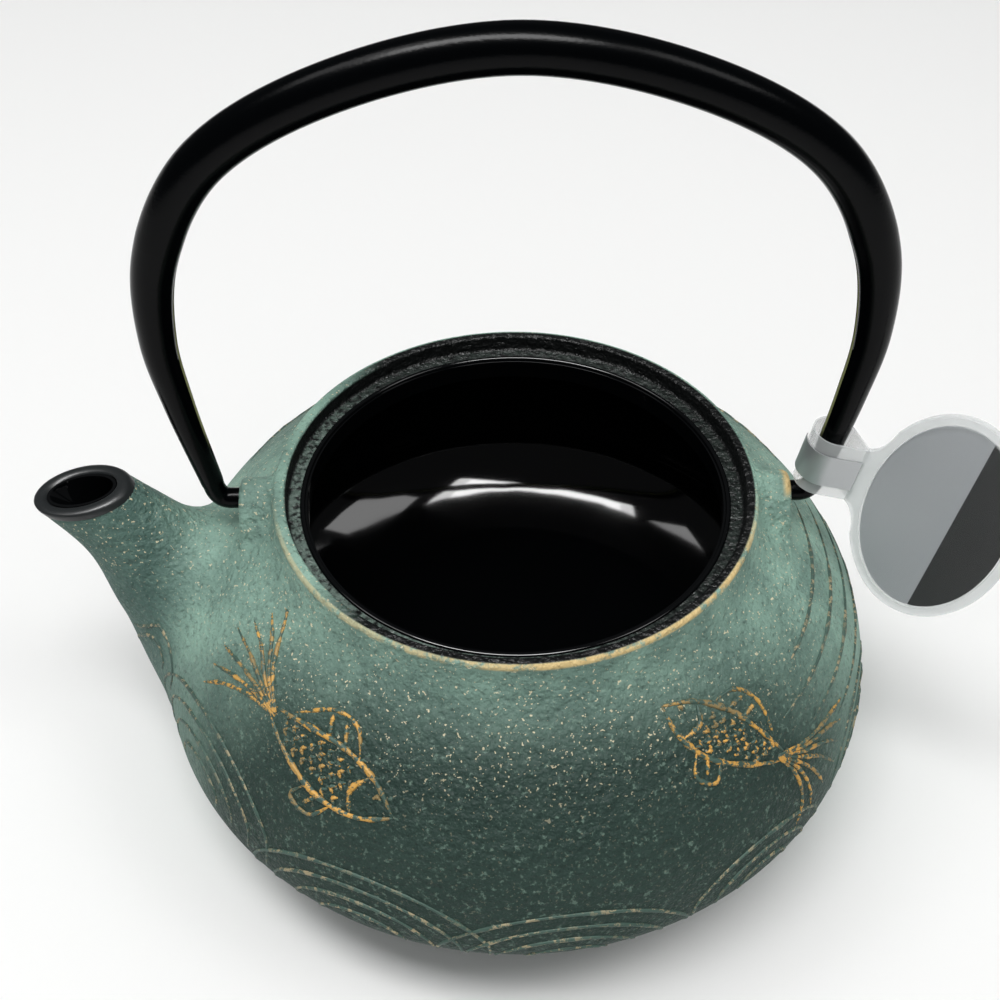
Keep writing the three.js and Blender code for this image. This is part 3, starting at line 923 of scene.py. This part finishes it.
def patina_look():
    """Matt green-grey paint over sand-cast iron, with a black lid seat and rim."""
    look = Look("cast_iron_patina", Specular_IOR_Level=0.3)
    radius, height, x, y = look.radius_and_height()
    x = look.math("MULTIPLY", x, 1000)
    y = look.math("MULTIPLY", y, 1000)
    grain = look.noise(1.1, 3, 0.65)
    fine = look.noise(0.5, 2, 0.6, seed=3)
    base = patina_colours(look, x, y, height, grain)

    left = look.span(look.math("MULTIPLY", x, -1), 26, 38)
    seat = look.math("MULTIPLY", look.span(radius, 45.3, 44.9), look.span(height, 66, 67))
    not_left = look.math("SUBTRACT", 1, look.math("MULTIPLY", left, look.span(height, 70.0, 70.5)))
    black = look.math("MULTIPLY", seat, not_left)
    base = look.blend(black, base, colour(12, 14, 14))
    ledge = look.math("MULTIPLY", look.span(radius, 43.3, 42.8), look.span(height, 68.0, 67.6))
    ledge = look.math("MULTIPLY", look.math("MULTIPLY", ledge, seat), look.span(grain, 0.35, 0.6))
    # The ledge turns paler grey-green, speckled by the grain, most towards the left and front.
    toward_left = look.math("SUBTRACT", look.math("MULTIPLY", x, -0.8), look.math("MULTIPLY", y, 0.6))
    pale_ledge = look.math("MULTIPLY", ledge, look.span(toward_left, 0, 26, 0.15, 1))
    base = look.blend(pale_ledge, base, colour(98, 114, 106))
    look.set("Base Color", look.blend(bare_metal(look, x, y, radius, height), base, colour(214, 188, 132)))

    rough = look.span(fine, 0.3, 0.7, 0.55, 0.78)
    look.set("Roughness", look.math("SUBTRACT", rough, look.math("MULTIPLY", black, 0.25)))
    coarse = look.bump(look.noise(1.7, 2, 0.55), 1.0)
    look.set("Normal", look.bump(fine, 0.22, coarse))
    return look.material


def relief_look(name, metal, share):
    """Relief painted like the pot and rubbed through to bright metal in specks, over about share of it."""
    look = Look(name, Roughness=0.6, Metallic=0.1)
    edge = 0.5 + 0.3 * (0.5 - share)
    rubbed = look.span(look.noise(1.3, 4, 0.7, seed=41), edge - 0.03, edge + 0.04)
    patch = look.span(look.noise(13, 2, 0.5, seed=47), 0.38, 0.56, 0.35, 1)
    paint = look.blend(look.noise(5, 2, 0.5, seed=45), colour(34, 62, 55), colour(76, 104, 92))
    look.set("Base Color", look.blend(look.math("MULTIPLY", rubbed, patch), paint, metal))
    look.set("Normal", look.bump(look.noise(0.6, 2, 0.6, seed=43), 0.15))
    return look.material


def enamel_look():
    look = Look("black_enamel", Base_Color=colour(5, 6, 7), Roughness=0.06)
    look.set("Normal", look.bump(look.noise(11, 1, 0.4), 0.05))
    return look.material


def spout_lip_look():
    look = Look("black_lip", Base_Color=colour(30, 33, 34), Roughness=0.36)
    look.set("Normal", look.bump(look.noise(1.5, 2, 0.5), 0.04))
    return look.material


INSIDE_HANDLE = (0, 0, 0.095)  # a point within the handle's arch, in metres


def handle_look():
    """Black paint, with a thin pale line along the seam on the tube's inner side, which is a painted glint of
    light along the seam's edge.

    Geometry's Normal is in world space, so the line is only on the right side while the handle stands up.
    """
    look = Look("black_handle_paint", Roughness=0.2, Specular_IOR_Level=0.09)
    split = look.node("ShaderNodeSeparateXYZ")
    look.link(look.place, split.inputs[0])
    off_middle = look.math("MULTIPLY", look.math("ABSOLUTE", split.outputs[1]), 1000)
    outward = look.node("ShaderNodeVectorMath", operation="SUBTRACT")
    look.link(look.place, outward.inputs[0])
    outward.inputs[1].default_value = INSIDE_HANDLE
    facing = look.node("ShaderNodeVectorMath", operation="DOT_PRODUCT")
    look.link(outward.outputs[0], facing.inputs[0])
    look.link(look.node("ShaderNodeNewGeometry").outputs["Normal"], facing.inputs[1])
    inner = look.span(facing.outputs["Value"], 0, -0.02)
    # Painted glint: a thin pale line along the seam, on the inner side of the tube and above its feet.
    seam = look.math("MULTIPLY", look.span(off_middle, 0.6, 0.3), inner)
    high = look.span(look.math("MULTIPLY", split.outputs[2], 1000), 78, 84)
    seam = look.math("MULTIPLY", seam, high)
    # The pale colour is a painted glint over the black paint.
    look.set("Base Color", look.blend(seam, colour(2, 3, 4), colour(150, 154, 108)))
    look.set("Normal", look.bump(look.noise(0.5, 2, 0.5), 0.02))
    return look.material


def film_look():
    """Clear film: nearly unseen over the card, and whitish on the border beyond it."""
    look = Look("clear_film", Base_Color=colour(236, 240, 240), Roughness=0.16)
    along, up = tag_plane(look)
    across = look.math("DIVIDE", look.math("SUBTRACT", along, TAG_CENTRE_X), FILM_HALF[0] - CARD_BORDER)
    upward = look.math("DIVIDE", up, FILM_HALF[1] - CARD_BORDER)
    oval = look.math("ADD", look.math("MULTIPLY", across, across), look.math("MULTIPLY", upward, upward))
    look.set("Alpha", look.span(oval, 0.98, 1.03, 0.03, 0.3))
    look.set("Normal", look.bump(look.noise(12, 1, 0.5), 0.1))
    return look.material


def foil_look():
    look = Look("silver_foil", Base_Color=colour(188, 190, 192), Roughness=0.38, Metallic=0.7)
    return look.material


def card_look():
    """Silver-grey print with a black end beyond a straight line."""
    look = Look("printed_card", Roughness=0.45, Specular_IOR_Level=0.2)
    along, _ = tag_plane(look)
    silver = look.blend(look.noise(26, 1), colour(158, 162, 166), colour(184, 187, 190))
    look.set("Base Color", look.blend(look.span(along, 25.9, 26.1), silver, colour(8, 8, 9)))
    return look.material


# ---- Stage ----


FLOOR_HALF = 3000
LAMP_AIM = (0, 0, 0.03)
# Softboxes in metres and watts: name, place, (width, height), power.
SOFTBOXES = [
    ("key", (-0.1, -0.28, 1.3), (0.85, 0.34), 8.5),
    ("patch_left", (-0.62, 0.1, 1.2), (0.42, 0.5), 2.8),
    ("patch_right", (0.8, -0.25, 1.2), (0.45, 0.5), 2.8),
]
GLINT = ("glint", (-0.1, -0.28, 1.28), (1.0, 0.36), 17)
FILL_STRENGTH, FILL_ANGLE = 1.25, 140
BACKDROP_LIGHT, BACKDROP_SEEN = 0.07, 0.85


def floor():
    points = [(x * FLOOR_HALF, y * FLOOR_HALF, 0) for x, y in ((-1, -1), (1, -1), (1, 1), (-1, 1))]
    obj = new_object("floor", points, [(0, 1, 2, 3)])
    look = Look("floor_paper", Base_Color=colour(240, 240, 239), Roughness=0.7)
    obj.data.materials.append(look.material)


def softbox(name, place, size, power):
    lamp = bpy.data.lights.new(name, "AREA")
    lamp.shape = "RECTANGLE"
    lamp.size, lamp.size_y = size
    lamp.energy = power
    obj = bpy.data.objects.new(name, lamp)
    bpy.context.scene.collection.objects.link(obj)
    obj.location = place
    obj.rotation_euler = (Vector(place) - Vector(LAMP_AIM)).to_track_quat("Z", "Y").to_euler()
    return obj


def fill_light():
    """A wide sun from above that no gloss mirrors."""
    sky = bpy.data.lights.new("fill", "SUN")
    sky.energy, sky.angle = FILL_STRENGTH, math.radians(FILL_ANGLE)
    fill = bpy.data.objects.new("fill", sky)
    fill.visible_glossy = False
    bpy.context.scene.collection.objects.link(fill)


def backdrop():
    """A world that gives little light, and that the camera itself sees as a pale backdrop."""
    world = bpy.data.worlds.new("studio")
    world.use_nodes = True
    tree = world.node_tree
    back = tree.nodes["Background"]
    back.inputs["Color"].default_value = (0.95, 0.97, 1, 1)
    seen = tree.nodes.new("ShaderNodeLightPath").outputs["Is Camera Ray"]
    strength = tree.nodes.new("ShaderNodeMapRange")
    tree.links.new(seen, strength.inputs["Value"])
    strength.inputs["To Min"].default_value = BACKDROP_LIGHT
    strength.inputs["To Max"].default_value = BACKDROP_SEEN
    tree.links.new(strength.outputs[0], back.inputs["Strength"])
    bpy.context.scene.world = world


def lights():
    """Softboxes, one more at the key's place for reflections only, a fill and the backdrop."""
    for name, place, size, power in SOFTBOXES:
        softbox(name, place, size, power)
    glint = softbox(*GLINT)
    glint.visible_diffuse = False
    fill_light()
    backdrop()


CAMERA_PLACE = (-0.0058, -0.1793, 0.2397)
CAMERA_AZIMUTH, CAMERA_ELEVATION, CAMERA_ROLL = -0.92, 44.32, -0.17
SENSOR_WIDTH, LENS = 36, 46.8


def camera():
    data = bpy.data.cameras.new("camera")
    data.sensor_width, data.lens = SENSOR_WIDTH, LENS
    obj = bpy.data.objects.new("camera", data)
    bpy.context.scene.collection.objects.link(obj)
    azimuth, elevation, roll = map(math.radians, (CAMERA_AZIMUTH, CAMERA_ELEVATION, CAMERA_ROLL))
    turn = (Matrix.Rotation(azimuth, 4, "Z") @ Matrix.Rotation(math.pi / 2 - elevation, 4, "X")
            @ Matrix.Rotation(roll, 4, "Z"))
    obj.matrix_world = Matrix.Translation(CAMERA_PLACE) @ turn
    data.clip_start = 0.01
    bpy.context.scene.camera = obj


def build():
    pot_visual(patina_look())
    enamel_visual(enamel_look())
    spout_lip_visual(spout_lip_look())
    relief(relief_look("relief_gold", colour(208, 158, 72), 0.5),
           relief_look("relief_tan", colour(160, 148, 116), 0.36))
    handle_visual(handle_look())
    film = film_look()
    tag_strap(film)
    tag_films(film)
    tag_band(foil_look())
    tag_card(card_look())
    floor()
    lights()
    camera()
    bpy.context.scene.view_settings.view_transform = "Standard"


build()
